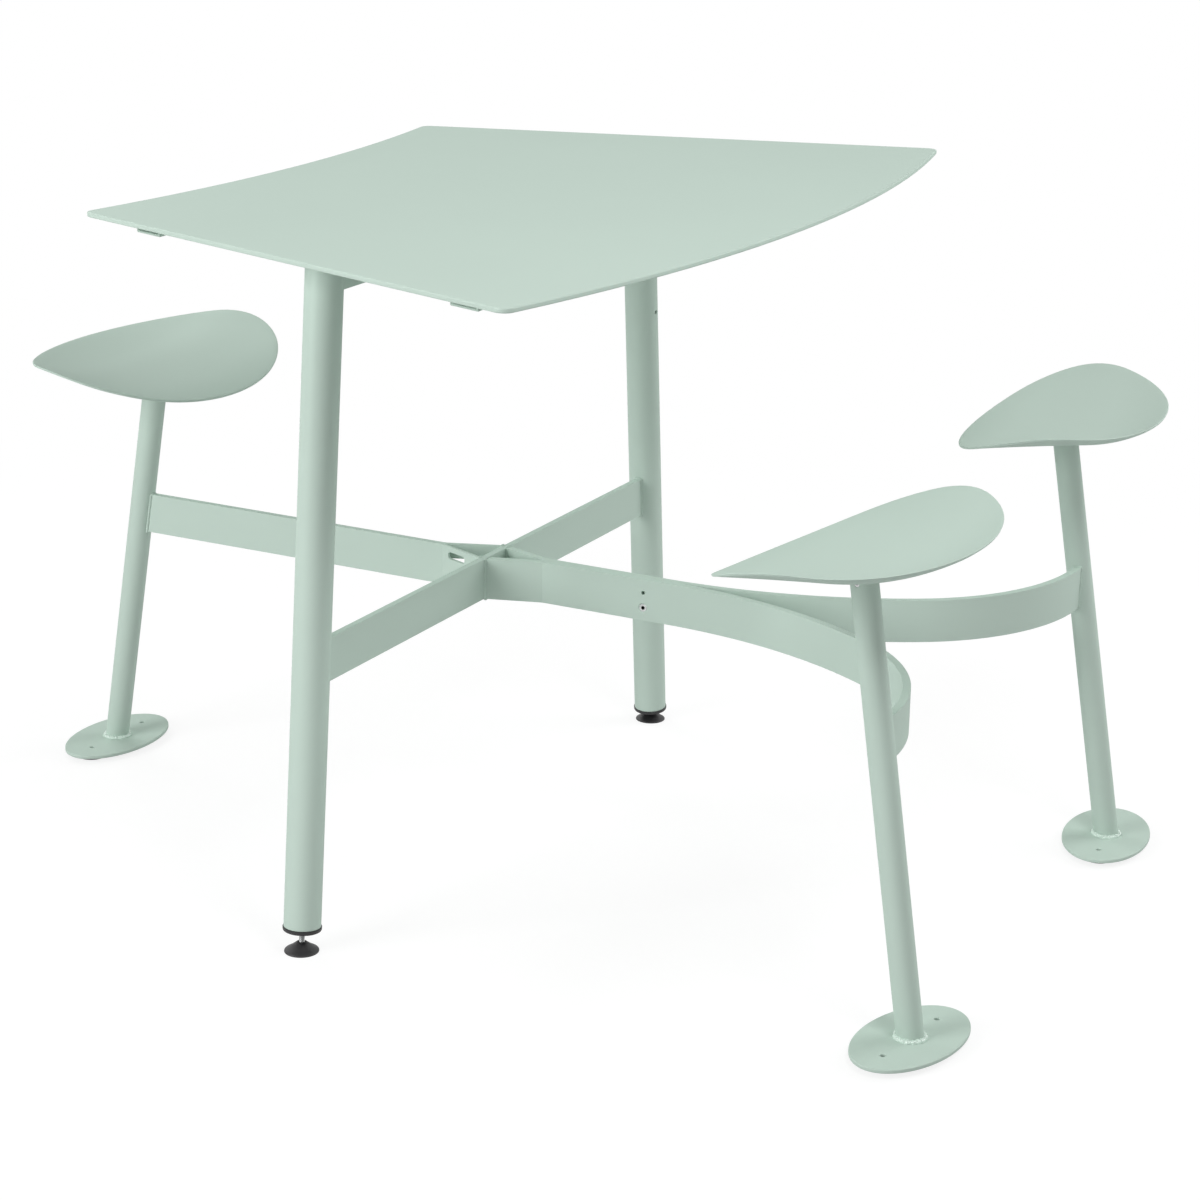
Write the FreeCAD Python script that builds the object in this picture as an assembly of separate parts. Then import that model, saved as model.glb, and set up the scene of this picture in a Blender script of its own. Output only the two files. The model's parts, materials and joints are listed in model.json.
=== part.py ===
import FreeCAD, Part
import math
import os
from FreeCAD import Placement, Rotation, Vector

# Table with three swivel seats on one welded steel frame, in millimetres and degrees.
# +X runs from the single inner seat to the pair of outer seats, +Z is up, the floor is z = 0.
# The frame is drawn about the point where the arms cross the leg stretcher, then every piece
# is moved so that the origin lies on the floor under the middle of the whole object.

# Layout on the floor and heights
table_height = 723.5
seat_height = 474.0
bar_level = 299.0
foot_spread = 793.0
leg_lean = 5.07
inner_reach = 525.0
outer_reach = 628.0
outer_spread = 588.0
outer_heading = 9.0
post_lean = 9.4

# Table top, a fan-shaped sheet: concave inner edge, convex outer edge, straight sides
top_thickness = 5.0
top_inner_width = 666.0
top_outer_width = 1026.0
top_depth = 588.0
top_offset = 5.5
top_inner_sag = 30.5
top_outer_sag = 63.5
top_corner_radius = 12.0
top_edge_round = 1.5

# Channels welded under the sheet
stiffener_width = 36.0
stiffener_height = 15.0
stiffener_wall = 2.5
stiffener_offset = 222.0
inner_stiffener_setback = 38.0
outer_stiffener_setback = 40.0

# Table legs
leg_diameter = 38.5
leg_wall = 2.5
front_leg_end_level = 27.0
back_leg_end_level = 18.0
vent_diameter = 5.0
vent_level = 528.0

# Plates on the leg tops, with the studs and nuts that hold the sheet
cap_plate_width = 116.0
cap_plate_length = 80.0
cap_plate_thickness = 5.0
cap_plate_corner = 12.0
stud_spacing_x = 84.0
stud_spacing_y = 36.0
stud_diameter = 8.0
stud_hole_diameter = 9.0
stud_tail = 2.0
stud_nut_flats = 13.0
stud_nut_height = 6.5

# Flat bars on edge: leg stretcher, top beam and seat arms
bar_height = 46.0
bar_thickness = 8.0
beam_height = 42.5
inner_plate_thickness = 4.0
fork_length = 64.0
fork_half_width = 29.0
arm_bend_radius = 495.0
arm_first_turn = 31.6
arm_end_straight = 19.0
slot_length = 27.0
slot_width = 8.0
front_slot_offset = 41.0
front_slot_rise = 13.0
back_slot_offset = 51.0
back_slot_rise = 2.0

# Screw that clamps the two outer arms, and the plain hole above it
clamp_setback = 25.7
clamp_drop = 9.0
clamp_diameter = 6.0
clamp_hole_diameter = 6.6
clamp_head_diameter = 11.0
clamp_socket_flats = 4.0
clamp_socket_depth = 2.0
clamp_tail = 1.5
clamp_nut_flats = 10.0
clamp_nut_height = 5.0
plain_hole_rise = 8.0
plain_hole_diameter = 4.5

# Seat posts, oval floor plates, weld beads and floor glides
post_diameter = 27.3
post_wall = 2.5
plate_length = 162.0
plate_width = 96.0
plate_thickness = 4.0
plate_edge_round = 1.0
anchor_spacing = 100.0
anchor_hole_diameter = 5.5
glide_diameter = 36.0
glide_height = 6.0
weld_leg = 4.0

# Swivel in the post head
spindle_diameter = 16.0
spindle_length = 90.0
hub_diameter = 60.0
hub_thickness = 5.0
bush_flange = 3.0
upper_bush_length = 30.0
lower_bush_length = 25.0
lock_diameter = 6.0
lock_depth = 10.0
lock_sink = 0.5
groove_depth = 2.0

# Seat pan, an ellipse of sheet with raised sides, a rear lip and a front roll
seat_width = 368.0
seat_depth = 220.0
seat_thickness = 2.5
side_rise = 24.0
side_taper = 14.0
side_curl = 7.0
front_lift = 11.0
rear_lip = 17.0
front_roll = 7.0
rear_lip_start_share = 0.42
front_roll_start_share = 0.5
seat_margin_share = 0.1
seat_grid_count = 13

# Levelling feet
pad_diameter = 36.0
pad_rim = 1.5
pad_height = 10.5
pad_neck_diameter = 10.0
stem_diameter = 6.0
stem_length = 50.0
ball_diameter = 7.0
ball_level = 4.6
insert_flange = 4.5
insert_flange_diameter = 40.3
insert_depth = 28.0
thread_bush_diameter = 12.0
thread_bush_depth = 14.0

# Clearances
press_gap = 0.05
thread_gap = 0.05
running_gap = 0.05
free_gap = 0.3
overrun = 3.0

# Sizes that follow from those above
leg_radius = leg_diameter / 2
post_radius = post_diameter / 2
post_bore_radius = post_radius - post_wall
spindle_radius = spindle_diameter / 2
plate_top = glide_height + plate_thickness
sheet_underside = table_height - top_thickness
cap_underside = sheet_underside - cap_plate_thickness
bar_bottom = bar_level - bar_height / 2
bar_top = bar_level + bar_height / 2
seat_on_post = seat_height / math.cos(math.radians(post_lean))
hub_bottom = seat_on_post - seat_thickness - hub_thickness
post_head = hub_bottom - bush_flange
clamp_head_height = (clamp_head_diameter - clamp_diameter) / 2
whole_span = 2 * (inner_reach + outer_reach)

X_AXIS = Vector(1, 0, 0)
Y_AXIS = Vector(0, 1, 0)
Z_AXIS = Vector(0, 0, 1)


class Stand:
    """A tube standing on the floor at a point and leaning towards a heading."""

    def __init__(self, x, y, heading, lean):
        self.foot = Vector(x, y, 0)
        self.heading = heading
        turn = Rotation(Z_AXIS, heading)
        self.level = Placement(self.foot, turn)
        self.tilted = Placement(self.foot, turn.multiply(Rotation(Y_AXIS, lean)))
        self.slope = math.tan(math.radians(lean))

    def axis(self):
        return self.tilted.Rotation.multVec(Z_AXIS)

    def at(self, height):
        """The point of the tube's axis at a height above the floor."""
        reach = height * self.slope
        turn = math.radians(self.heading)
        return self.foot + Vector(reach * math.cos(turn), reach * math.sin(turn), height)


legs = {
    "front_leg": Stand(0, -foot_spread / 2, 90, leg_lean),
    "back_leg": Stand(0, foot_spread / 2, -90, leg_lean),
}
leg_ends = {
    "front_leg": front_leg_end_level / math.cos(math.radians(leg_lean)),
    "back_leg": back_leg_end_level / math.cos(math.radians(leg_lean)),
}
posts = {
    "inner": Stand(-inner_reach, 0, 0, post_lean),
    "outer_front": Stand(outer_reach, -outer_spread / 2, 180 - outer_heading, post_lean),
    "outer_back": Stand(outer_reach, outer_spread / 2, 180 + outer_heading, post_lean),
}
lock_sides = {"inner": 1, "outer_front": 1, "outer_back": -1}


def placed(shape, placement):
    copy = shape.copy()
    copy.Placement = placement.multiply(copy.Placement)
    return copy


def rod(radius, start, end):
    """A round bar along the local Z axis."""
    return Part.makeCylinder(radius, end - start, Vector(0, 0, start))


def pipe(outer_radius, inner_radius, start, end):
    return rod(outer_radius, start, end).cut(rod(inner_radius, start - overrun, end + overrun))


def block(x_size, y_size, bottom, top):
    """A box centred on the Z axis between two heights."""
    return Part.makeBox(x_size, y_size, top - bottom, Vector(-x_size / 2, -y_size / 2, bottom))


def above(height):
    return block(whole_span, whole_span, height, height + whole_span)


def below(height):
    return block(whole_span, whole_span, height - whole_span, height)


def hexagon_bar(flats, start, end):
    corners = []
    for step in range(7):
        turn = math.radians(60 * step)
        corner_radius = flats / 2 / math.cos(math.radians(30))
        corners.append(Vector(corner_radius * math.cos(turn), corner_radius * math.sin(turn), start))
    return Part.Face(Part.makePolygon(corners)).extrude(Vector(0, 0, end - start))


def nut(flats, thread_diameter, start, end):
    bore = rod(thread_diameter / 2 + thread_gap, start - overrun, end + overrun)
    return hexagon_bar(flats, start, end).cut(bore)


def along_y(shape, x, z):
    """Turns a shape drawn along Z so that it runs along +Y at a place in the XZ plane."""
    return placed(shape, Placement(Vector(x, 0, z), Rotation(X_AXIS, -90)))


def rounded_slab(x_size, y_size, bottom, top, corner):
    slab = block(x_size, y_size, bottom, top)
    upright_edges = [edge for edge in slab.Edges if edge.BoundBox.ZLength > (top - bottom) / 2]
    return slab.makeFillet(corner, upright_edges)


def mirrored(shape):
    return shape.mirror(Vector(0, 0, 0), Y_AXIS)


# Bars that follow a path in plan

def heading_vector(heading):
    return Vector(math.cos(math.radians(heading)), math.sin(math.radians(heading)), 0)


def ahead(point, heading, distance):
    end = point + heading_vector(heading) * distance
    return [(point, heading), (end, heading)]


def curve(point, heading, radius, turn):
    """A left-hand arc that leaves a point along a heading and turns by an angle."""
    centre = point + heading_vector(heading + 90) * radius
    stops = []
    for share in (0, 0.5, 1):
        now = heading + turn * share
        stops.append((centre + heading_vector(now - 90) * radius, now))
    return stops


def side_of(path, offset):
    """The edges of a path moved sideways, mitred where the path has a corner."""
    edges = []
    for number, stops in enumerate(path):
        before = path[number - 1][-1][1] if number > 0 else stops[0][1]
        after = path[number + 1][0][1] if number + 1 < len(path) else stops[-1][1]
        points = []
        for place, (point, heading) in enumerate(stops):
            other = heading
            if place == 0:
                other = before
            if place == len(stops) - 1:
                other = after
            half_corner = math.radians((other - heading) / 2)
            normal = heading_vector((heading + other) / 2 + 90)
            points.append(point + normal * (offset / math.cos(half_corner)))
        if len(points) == 2:
            edges.append(Part.LineSegment(*points).toShape())
        else:
            edges.append(Part.Arc(*points).toShape())
    return edges


def bar_along(path, thickness):
    """A flat bar on edge at bar level, with its middle plane on the path."""
    left = side_of(path, thickness / 2)
    right = side_of(path, -thickness / 2)
    ends = []
    for stops, number in ((path[0], 0), (path[-1], -1)):
        point, heading = stops[number]
        half = heading_vector(heading + 90) * (thickness / 2)
        ends.append(Part.LineSegment(point + half, point - half).toShape())
    outline = Part.Wire(Part.__sortEdges__(left + right + ends))
    bar = Part.Face(outline).extrude(Vector(0, 0, bar_height))
    return placed(bar, Placement(Vector(0, 0, bar_bottom), Rotation()))


# Table top and what holds it

def top_corners(setback):
    """The four corners of the top, with the straight sides moved inwards."""
    inner_half = top_inner_width / 2 - setback
    outer_half = top_outer_width / 2 - setback
    near, far = top_offset - top_depth / 2, top_offset + top_depth / 2
    return [Vector(near, -inner_half, 0), Vector(far, -outer_half, 0),
            Vector(far, outer_half, 0), Vector(near, inner_half, 0)]


def make_table_top():
    inner_front, outer_front, outer_back, inner_back = top_corners(0)
    edges = [
        Part.LineSegment(inner_front, outer_front).toShape(),
        Part.Arc(outer_front, Vector(outer_front.x + top_outer_sag, 0, 0), outer_back).toShape(),
        Part.LineSegment(outer_back, inner_back).toShape(),
        Part.Arc(inner_back, Vector(inner_back.x + top_inner_sag, 0, 0), inner_front).toShape(),
    ]
    sheet = Part.Face(Part.Wire(edges)).extrude(Vector(0, 0, top_thickness))
    upright_edges = [edge for edge in sheet.Edges if edge.BoundBox.ZLength > top_thickness / 2]
    sheet = sheet.makeFillet(top_corner_radius, upright_edges)
    rim_edges = [edge for edge in sheet.Edges if edge.BoundBox.ZLength < top_thickness / 2]
    sheet = sheet.makeFillet(top_edge_round, rim_edges)
    return placed(sheet, Placement(Vector(0, 0, sheet_underside), Rotation()))


def make_stiffener(offset, setback):
    """A channel across the sheet, open upwards, its ends cut along the sheet's sides."""
    bottom = sheet_underside - stiffener_height
    outside = block(stiffener_width, top_outer_width, bottom, sheet_underside)
    inner_width = stiffener_width - 2 * stiffener_wall
    inside = block(inner_width, top_outer_width + overrun, bottom + stiffener_wall, table_height)
    channel = placed(outside.cut(inside), Placement(Vector(offset, 0, 0), Rotation()))
    corners = top_corners(setback)
    trim = Part.Face(Part.makePolygon(corners + corners[:1])).extrude(Vector(0, 0, table_height))
    return channel.common(trim)


def stud_places(stand):
    centre = stand.at(cap_underside)
    for x_side in (-1, 1):
        for y_side in (-1, 1):
            yield centre.x + x_side * stud_spacing_x / 2, centre.y + y_side * stud_spacing_y / 2


def make_cap_plate(stand):
    centre = stand.at(cap_underside)
    plate = rounded_slab(cap_plate_width, cap_plate_length, cap_underside, sheet_underside, cap_plate_corner)
    plate = placed(plate, Placement(Vector(0, centre.y, 0), Rotation()))
    for x, y in stud_places(stand):
        hole = rod(stud_hole_diameter / 2, cap_underside - overrun, sheet_underside + overrun)
        plate = plate.cut(placed(hole, Placement(Vector(x, y, 0), Rotation())))
    return plate


def at_each_stud(shape):
    solids = []
    for stand in legs.values():
        for x, y in stud_places(stand):
            solids.append(placed(shape, Placement(Vector(x, y, 0), Rotation())))
    return Part.makeCompound(solids)


# Legs and the bars between them

def leg_outside(stand):
    return placed(rod(leg_radius, -overrun, table_height + overrun), stand.tilted)


def make_leg(stand, end, vented):
    tube = pipe(leg_radius, leg_radius - leg_wall, end, table_height + overrun)
    tube = placed(tube, stand.tilted).cut(above(cap_underside))
    if vented:
        centre = stand.at(vent_level)
        hole = Part.makeCylinder(vent_diameter / 2, leg_diameter, centre, X_AXIS)
        tube = tube.cut(hole)
    return tube


def make_cross_bar(bottom, top):
    """A flat bar on edge that runs from leg to leg and is coped to both tubes."""
    reach = 2 * legs["back_leg"].at(top).y
    bar = block(bar_thickness, reach, bottom, top)
    for stand in legs.values():
        bar = bar.cut(leg_outside(stand))
    return bar


# Seat arms

def post_outside(stand):
    return placed(rod(post_radius, -overrun, seat_on_post), stand.tilted)


def fork_path(side, thickness):
    """The splayed end of an arm: from the stretcher to the bend where the arms run side by side."""
    start = Vector(0, fork_half_width - thickness / 2, 0)
    bend = Vector(side * fork_length, thickness / 2, 0)
    heading = math.degrees(math.atan2(bend.y - start.y, bend.x - start.x))
    return ahead(start, heading % 360 if side < 0 else heading, (bend - start).Length), bend


def make_inner_plate():
    """The back one of the two plates of the inner arm."""
    fork, bend = fork_path(-1, inner_plate_thickness)
    post = posts["inner"].at(bar_level)
    path = [fork, ahead(bend, 180, bend.x - post.x)]
    plate = bar_along(path, inner_plate_thickness)
    return plate.cut(post_outside(posts["inner"])).cut(make_cross_bar(bar_bottom, bar_top))


def cut_slot(plate, offset, rise):
    """A round-ended slot along a plate of the inner arm's fork."""
    half = (slot_length - slot_width) / 2
    height = bar_level + rise
    middle = Part.makeBox(2 * half, 2 * fork_half_width, slot_width,
                          Vector(-offset - half, -fork_half_width, height - slot_width / 2))
    plate = plate.cut(middle)
    for side in (-1, 1):
        end = along_y(rod(slot_width / 2, -fork_half_width, fork_half_width), side * half - offset, height)
        plate = plate.cut(end)
    return plate


def outer_arm_curves():
    """Where the outer arms start to part, and the radius of the second arc that brings them to the posts."""
    post = posts["outer_back"].at(bar_level)
    turn = math.radians(arm_first_turn)
    first_step = bar_thickness / 2 + arm_bend_radius * (1 - math.cos(turn))
    second_radius = (post.y - arm_end_straight - first_step) / math.cos(turn)
    start = post.x - arm_bend_radius * math.sin(turn) - second_radius * (1 - math.sin(turn))
    return start, second_radius


parting_x, second_bend_radius = outer_arm_curves()
clamp_offset = parting_x - clamp_setback


def outer_arm_path():
    fork, bend = fork_path(1, bar_thickness)
    straight = ahead(bend, 0, parting_x - bend.x)
    first = curve(straight[-1][0], 0, arm_bend_radius, arm_first_turn)
    second = curve(first[-1][0], arm_first_turn, second_bend_radius, 90 - arm_first_turn)
    return [fork, straight, first, second, ahead(second[-1][0], 90, arm_end_straight)]


def make_outer_arm():
    """The back one of the two outer arms, with the clamp hole and the plain hole."""
    arm = bar_along(outer_arm_path(), bar_thickness)
    arm = arm.cut(post_outside(posts["outer_back"])).cut(make_cross_bar(bar_bottom, bar_top))
    clamp_level = bar_level - clamp_drop
    arm = arm.cut(along_y(rod(clamp_hole_diameter / 2, -bar_height, bar_height), clamp_offset, clamp_level))
    plain_level = bar_level + plain_hole_rise
    return arm.cut(along_y(rod(plain_hole_diameter / 2, -bar_height, bar_height), clamp_offset, plain_level))


def clamp_head():
    return Part.makeCone(clamp_head_diameter / 2, clamp_diameter / 2, clamp_head_height)


def make_clamp_screw():
    length = 2 * bar_thickness + clamp_nut_height + clamp_tail
    socket = hexagon_bar(clamp_socket_flats, -overrun, clamp_socket_depth)
    screw = clamp_head().fuse(rod(clamp_diameter / 2, 0, length)).cut(socket)
    return placed(along_y(screw, clamp_offset, bar_level - clamp_drop),
                  Placement(Vector(0, -bar_thickness, 0), Rotation()))


def cut_countersink(arm):
    head = placed(along_y(clamp_head(), clamp_offset, bar_level - clamp_drop),
                  Placement(Vector(0, -bar_thickness, 0), Rotation()))
    return arm.cut(head)


def make_clamp_nut():
    start = bar_thickness
    body = nut(clamp_nut_flats, clamp_diameter, start, start + clamp_nut_height)
    return along_y(body, clamp_offset, bar_level - clamp_drop)


# Seat posts and their floor plates

def make_post(stand, lock_side):
    tube = pipe(post_radius, post_bore_radius, 0, post_head).cut(lock_hole(lock_side, thread_gap))
    return placed(tube, stand.tilted).cut(below(plate_top))


def at_each_anchor(shape):
    solids = []
    for side in (-1, 1):
        solids.append(placed(shape, Placement(Vector(0, side * anchor_spacing / 2, 0), Rotation())))
    return solids


def plate_centre(stand):
    """Where the post meets its floor plate, turned to the seat's heading."""
    point = stand.at(plate_top)
    return Placement(Vector(point.x, point.y, 0), stand.level.Rotation)


def make_floor_plate(stand):
    oval = Part.Ellipse(Vector(0, 0, 0), plate_length / 2, plate_width / 2).toShape()
    plate = Part.Face(Part.Wire(oval)).extrude(Vector(0, 0, plate_thickness))
    rims = [edge for edge in plate.Edges if edge.BoundBox.ZLength < plate_thickness / 2]
    plate = plate.makeFillet(plate_edge_round, rims)
    plate = placed(plate, Placement(Vector(0, 0, glide_height), Rotation(Z_AXIS, 90)))
    for hole in at_each_anchor(rod(anchor_hole_diameter / 2, 0, plate_top + overrun)):
        plate = plate.cut(hole)
    return placed(plate, plate_centre(stand))


def make_glides(stand):
    glide = pipe(glide_diameter / 2, anchor_hole_diameter / 2, 0, glide_height)
    return placed(Part.makeCompound(at_each_anchor(glide)), plate_centre(stand))


def make_base_weld(stand):
    """A fillet bead around the foot of a leaning post."""
    start = plate_top / math.cos(math.radians(post_lean))
    cone = Part.makeCone(post_radius + 2 * weld_leg, post_radius, 2 * weld_leg, Vector(0, 0, start - weld_leg))
    bead = placed(cone, stand.tilted).cut(below(plate_top))
    return bead.cut(post_outside(stand))


# Swivel, drawn along the post's axis

def lock_hole(side, clearance):
    centre = Vector(0, 0, post_head - lock_depth)
    return Part.makeCylinder(lock_diameter / 2 + clearance, post_diameter, centre, Y_AXIS * side)


def make_upper_bush(side):
    flange = rod(post_radius, post_head, hub_bottom)
    sleeve = rod(post_bore_radius - press_gap, post_head - upper_bush_length, post_head)
    bore = rod(spindle_radius + running_gap, post_head - upper_bush_length - overrun, hub_bottom + overrun)
    return flange.fuse(sleeve).cut(bore).cut(lock_hole(side, free_gap))


def make_lower_bush():
    start = hub_bottom - spindle_length
    return pipe(post_bore_radius - press_gap, spindle_radius + running_gap, start, start + lower_bush_length)


def make_spindle():
    shaft = rod(spindle_radius, hub_bottom - spindle_length, hub_bottom)
    half_groove = lock_diameter / 2 + free_gap
    centre = post_head - lock_depth
    groove = pipe(spindle_radius + overrun, spindle_radius - groove_depth,
                  centre - half_groove, centre + half_groove)
    return shaft.cut(groove)


def make_lock_screw(side):
    tip = spindle_radius - groove_depth + free_gap
    outer_end = post_radius - lock_sink
    start = Vector(0, side * tip, post_head - lock_depth)
    return Part.makeCylinder(lock_diameter / 2, outer_end - tip, start, Y_AXIS * side)


# Seat pan

def eased(share, start_share):
    """Zero up to a start, then a parabola that reaches one at the rim."""
    return max(0, (share - start_share) / (1 - start_share)) ** 2


def pan_height(front_share, side_share):
    """Height of the pan's upper face, with places as shares of the half depth and half width."""
    dish = side_share ** 2 * (side_rise - side_taper * front_share) + side_curl * side_share ** 4
    profile = front_lift * front_share
    profile += rear_lip * eased(-front_share, rear_lip_start_share)
    profile -= front_roll * eased(front_share, front_roll_start_share)
    return dish + profile


def pan_face():
    reach_share = 1 + seat_margin_share
    step_share = 2 * reach_share / (seat_grid_count - 1)
    grid = []
    for row in range(seat_grid_count):
        front_share = -reach_share + row * step_share
        line = []
        for column in range(seat_grid_count):
            side_share = -reach_share + column * step_share
            height = seat_on_post + pan_height(front_share, side_share)
            line.append(Vector(front_share * seat_depth / 2, side_share * seat_width / 2, height))
        grid.append(line)
    surface = Part.BSplineSurface()
    surface.interpolate(grid)
    return surface.toShape()


def make_seat_pan():
    slab = pan_face().extrude(Vector(0, 0, -seat_thickness))
    oval = Part.Ellipse(Vector(0, 0, 0), seat_width / 2, seat_depth / 2).toShape()
    column = Part.Face(Part.Wire(oval)).extrude(Vector(0, 0, 2 * seat_height))
    return slab.common(placed(column, Placement(Vector(0, 0, 0), Rotation(Z_AXIS, 90))))


def make_seat_hub():
    """The welding boss between spindle and pan, its upper face fitted to the pan's underside."""
    boss = rod(hub_diameter / 2, hub_bottom, seat_on_post)
    over_pan = pan_face().extrude(Vector(0, 0, seat_height))
    underside = Placement(Vector(0, 0, -seat_thickness), Rotation())
    return boss.cut(placed(over_pan, underside))


# Levelling feet, drawn along the leg's axis

def ball_place():
    return ball_level / math.cos(math.radians(leg_lean))


def make_insert(end):
    flange = rod(insert_flange_diameter / 2, end - insert_flange, end)
    plug = rod(leg_radius - leg_wall - press_gap, end, end + insert_depth)
    seat = rod(thread_bush_diameter / 2, end - insert_flange - overrun, end + thread_bush_depth)
    passage = rod(stem_diameter / 2 + free_gap, end, end + insert_depth + overrun)
    return flange.fuse(plug).cut(seat).cut(passage)


def make_thread_bush(end):
    return pipe(thread_bush_diameter / 2 - press_gap, stem_diameter / 2 + thread_gap,
                end - insert_flange, end + thread_bush_depth)


def make_stem():
    ball = Part.makeSphere(ball_diameter / 2, Vector(0, 0, ball_place()))
    return ball.fuse(rod(stem_diameter / 2, ball_place(), ball_place() + stem_length))


def make_pad(stand):
    """A flat round foot that holds the ball of the stem."""
    rim = rod(pad_diameter / 2, 0, pad_rim)
    cone = Part.makeCone(pad_diameter / 2, pad_neck_diameter / 2, pad_height - pad_rim, Vector(0, 0, pad_rim))
    centre = stand.at(ball_level)
    pad = placed(rim.fuse(cone), Placement(Vector(centre.x, centre.y, 0), Rotation()))
    socket = Part.makeSphere(ball_diameter / 2 + running_gap, Vector(0, 0, ball_place()))
    throat = rod(stem_diameter / 2 + free_gap, ball_place(), 2 * pad_height)
    return pad.cut(placed(socket.fuse(throat), stand.tilted))


# All the pieces, by node name

def make_parts():
    parts = {"table_top": make_table_top()}
    parts["inner_top_stiffener"] = make_stiffener(-stiffener_offset, inner_stiffener_setback)
    parts["outer_top_stiffener"] = make_stiffener(stiffener_offset, outer_stiffener_setback)
    parts["top_beam"] = make_cross_bar(cap_underside - beam_height, cap_underside)
    nut_bottom = cap_underside - stud_nut_height
    parts["top_studs"] = at_each_stud(rod(stud_diameter / 2, nut_bottom - stud_tail, sheet_underside))
    parts["top_nuts"] = at_each_stud(nut(stud_nut_flats, stud_diameter, nut_bottom, cap_underside))
    parts["leg_stretcher"] = make_cross_bar(bar_bottom, bar_top)
    for name, stand in legs.items():
        parts[name + "_cap_plate"] = make_cap_plate(stand)
        end = leg_ends[name]
        parts[name + "_tube"] = make_leg(stand, end, name == "back_leg")
        parts[name + "_insert"] = placed(make_insert(end), stand.tilted)
        parts[name + "_thread_bush"] = placed(make_thread_bush(end), stand.tilted)
        parts[name + "_foot_stem"] = placed(make_stem(), stand.tilted)
        parts[name + "_foot_pad"] = make_pad(stand)
    back_plate = make_inner_plate()
    parts["inner_arm_back_plate"] = cut_slot(back_plate, back_slot_offset, back_slot_rise)
    parts["inner_arm_front_plate"] = cut_slot(mirrored(back_plate), front_slot_offset, front_slot_rise)
    back_arm = make_outer_arm()
    parts["outer_back_arm"] = back_arm
    parts["outer_front_arm"] = cut_countersink(mirrored(back_arm))
    parts["arm_clamp_screw"] = make_clamp_screw()
    parts["arm_clamp_nut"] = make_clamp_nut()
    for name, stand in posts.items():
        side = lock_sides[name]
        parts[name + "_post"] = make_post(stand, side)
        parts[name + "_floor_plate"] = make_floor_plate(stand)
        parts[name + "_floor_glides"] = make_glides(stand)
        parts[name + "_base_weld"] = make_base_weld(stand)
        parts[name + "_upper_bush"] = placed(make_upper_bush(side), stand.tilted)
        parts[name + "_lower_bush"] = placed(make_lower_bush(), stand.tilted)
        parts[name + "_lock_screw"] = placed(make_lock_screw(side), stand.tilted)
        parts[name + "_seat_spindle"] = placed(make_spindle(), stand.tilted)
        parts[name + "_seat_hub"] = placed(make_seat_hub(), stand.tilted)
        parts[name + "_seat_pan"] = placed(make_seat_pan(), stand.tilted)
    return parts


def middle_of(parts):
    """The floor point under the middle of the whole object, which becomes the origin."""
    boxes = [shape.optimalBoundingBox(False) for shape in parts.values()]
    return Vector((min(box.XMin for box in boxes) + max(box.XMax for box in boxes)) / 2, 0, 0)


parts = make_parts()
middle = middle_of(parts)
os.makedirs("parts", exist_ok=True)
for node, shape in parts.items():
    placed(shape, Placement(-middle, Rotation())).exportStep("parts/" + node + ".step")
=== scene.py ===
import json
import math

import bmesh
import bpy
from bpy.props import FloatProperty, FloatVectorProperty, PointerProperty
from mathutils import Matrix, Vector


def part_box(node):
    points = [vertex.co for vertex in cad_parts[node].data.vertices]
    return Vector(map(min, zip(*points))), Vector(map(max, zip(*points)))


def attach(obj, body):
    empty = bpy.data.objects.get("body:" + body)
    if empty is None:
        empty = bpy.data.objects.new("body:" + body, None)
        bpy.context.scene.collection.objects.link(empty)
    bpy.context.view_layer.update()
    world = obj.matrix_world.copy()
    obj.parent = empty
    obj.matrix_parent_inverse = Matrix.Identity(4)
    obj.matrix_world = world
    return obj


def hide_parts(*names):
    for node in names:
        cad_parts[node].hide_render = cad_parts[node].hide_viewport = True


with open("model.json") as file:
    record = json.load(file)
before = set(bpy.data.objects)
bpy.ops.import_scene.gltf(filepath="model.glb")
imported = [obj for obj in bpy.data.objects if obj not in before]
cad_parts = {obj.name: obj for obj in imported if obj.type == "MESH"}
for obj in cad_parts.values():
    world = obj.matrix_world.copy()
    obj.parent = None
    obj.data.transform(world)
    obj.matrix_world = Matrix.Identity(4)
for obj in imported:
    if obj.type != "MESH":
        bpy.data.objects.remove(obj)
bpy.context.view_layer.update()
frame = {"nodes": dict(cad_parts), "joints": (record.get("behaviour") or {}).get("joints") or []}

bl_info = {
    "name": "Seat Table",
    "version": (1, 0, 0),
    "blender": (4, 5, 0),
    "location": "View3D > Sidebar > Seat Table",
    "description": "Finishes a powder-coated table with three swivel seats and sets it on a studio floor",
    "category": "Add Mesh",
}

# What the frame gives: its nodes and joints. Lengths are in metres.
NODES = frame["nodes"]
JOINTS = {joint["name"]: joint for joint in frame["joints"]}
SEATS = ("inner", "outer_front", "outer_back")
LEGS = ("front_leg", "back_leg")
ARMS = ("outer_front_arm", "outer_back_arm")
PLATES = ("inner_arm_front_plate", "inner_arm_back_plate")
UP = Vector((0, 0, 1))

# How finely shapes are divided
TURN_STEPS = 64
BEAD_SIDES = 10
ROUND_SEGMENTS = 4

# When an edge counts as sharp or as flat, and when places touch or are one
SHARP_ANGLE = math.radians(38)
FLAT_ANGLE = math.radians(1)
TOUCH = 0.0003
MERGE_DISTANCE = 0.00001

# Radius of the round mouth round a socket, as a share of the socket's width
SOCKET_MOUTH = 0.75

# Sizes along a weld bead as shares of its radius: the ripples, its ends and its slow swelling
RIPPLE = (0.86, 1.0, 0.95)
BEAD_END = 0.55
SWELLING = 0.16


def length(name, description, default):
    return FloatProperty(name=name, description=description, default=default, min=0, precision=4,
                         unit="LENGTH")


def share(name, description, default):
    return FloatProperty(name=name, description=description, default=default, min=0, max=1,
                         subtype="FACTOR")


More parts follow.
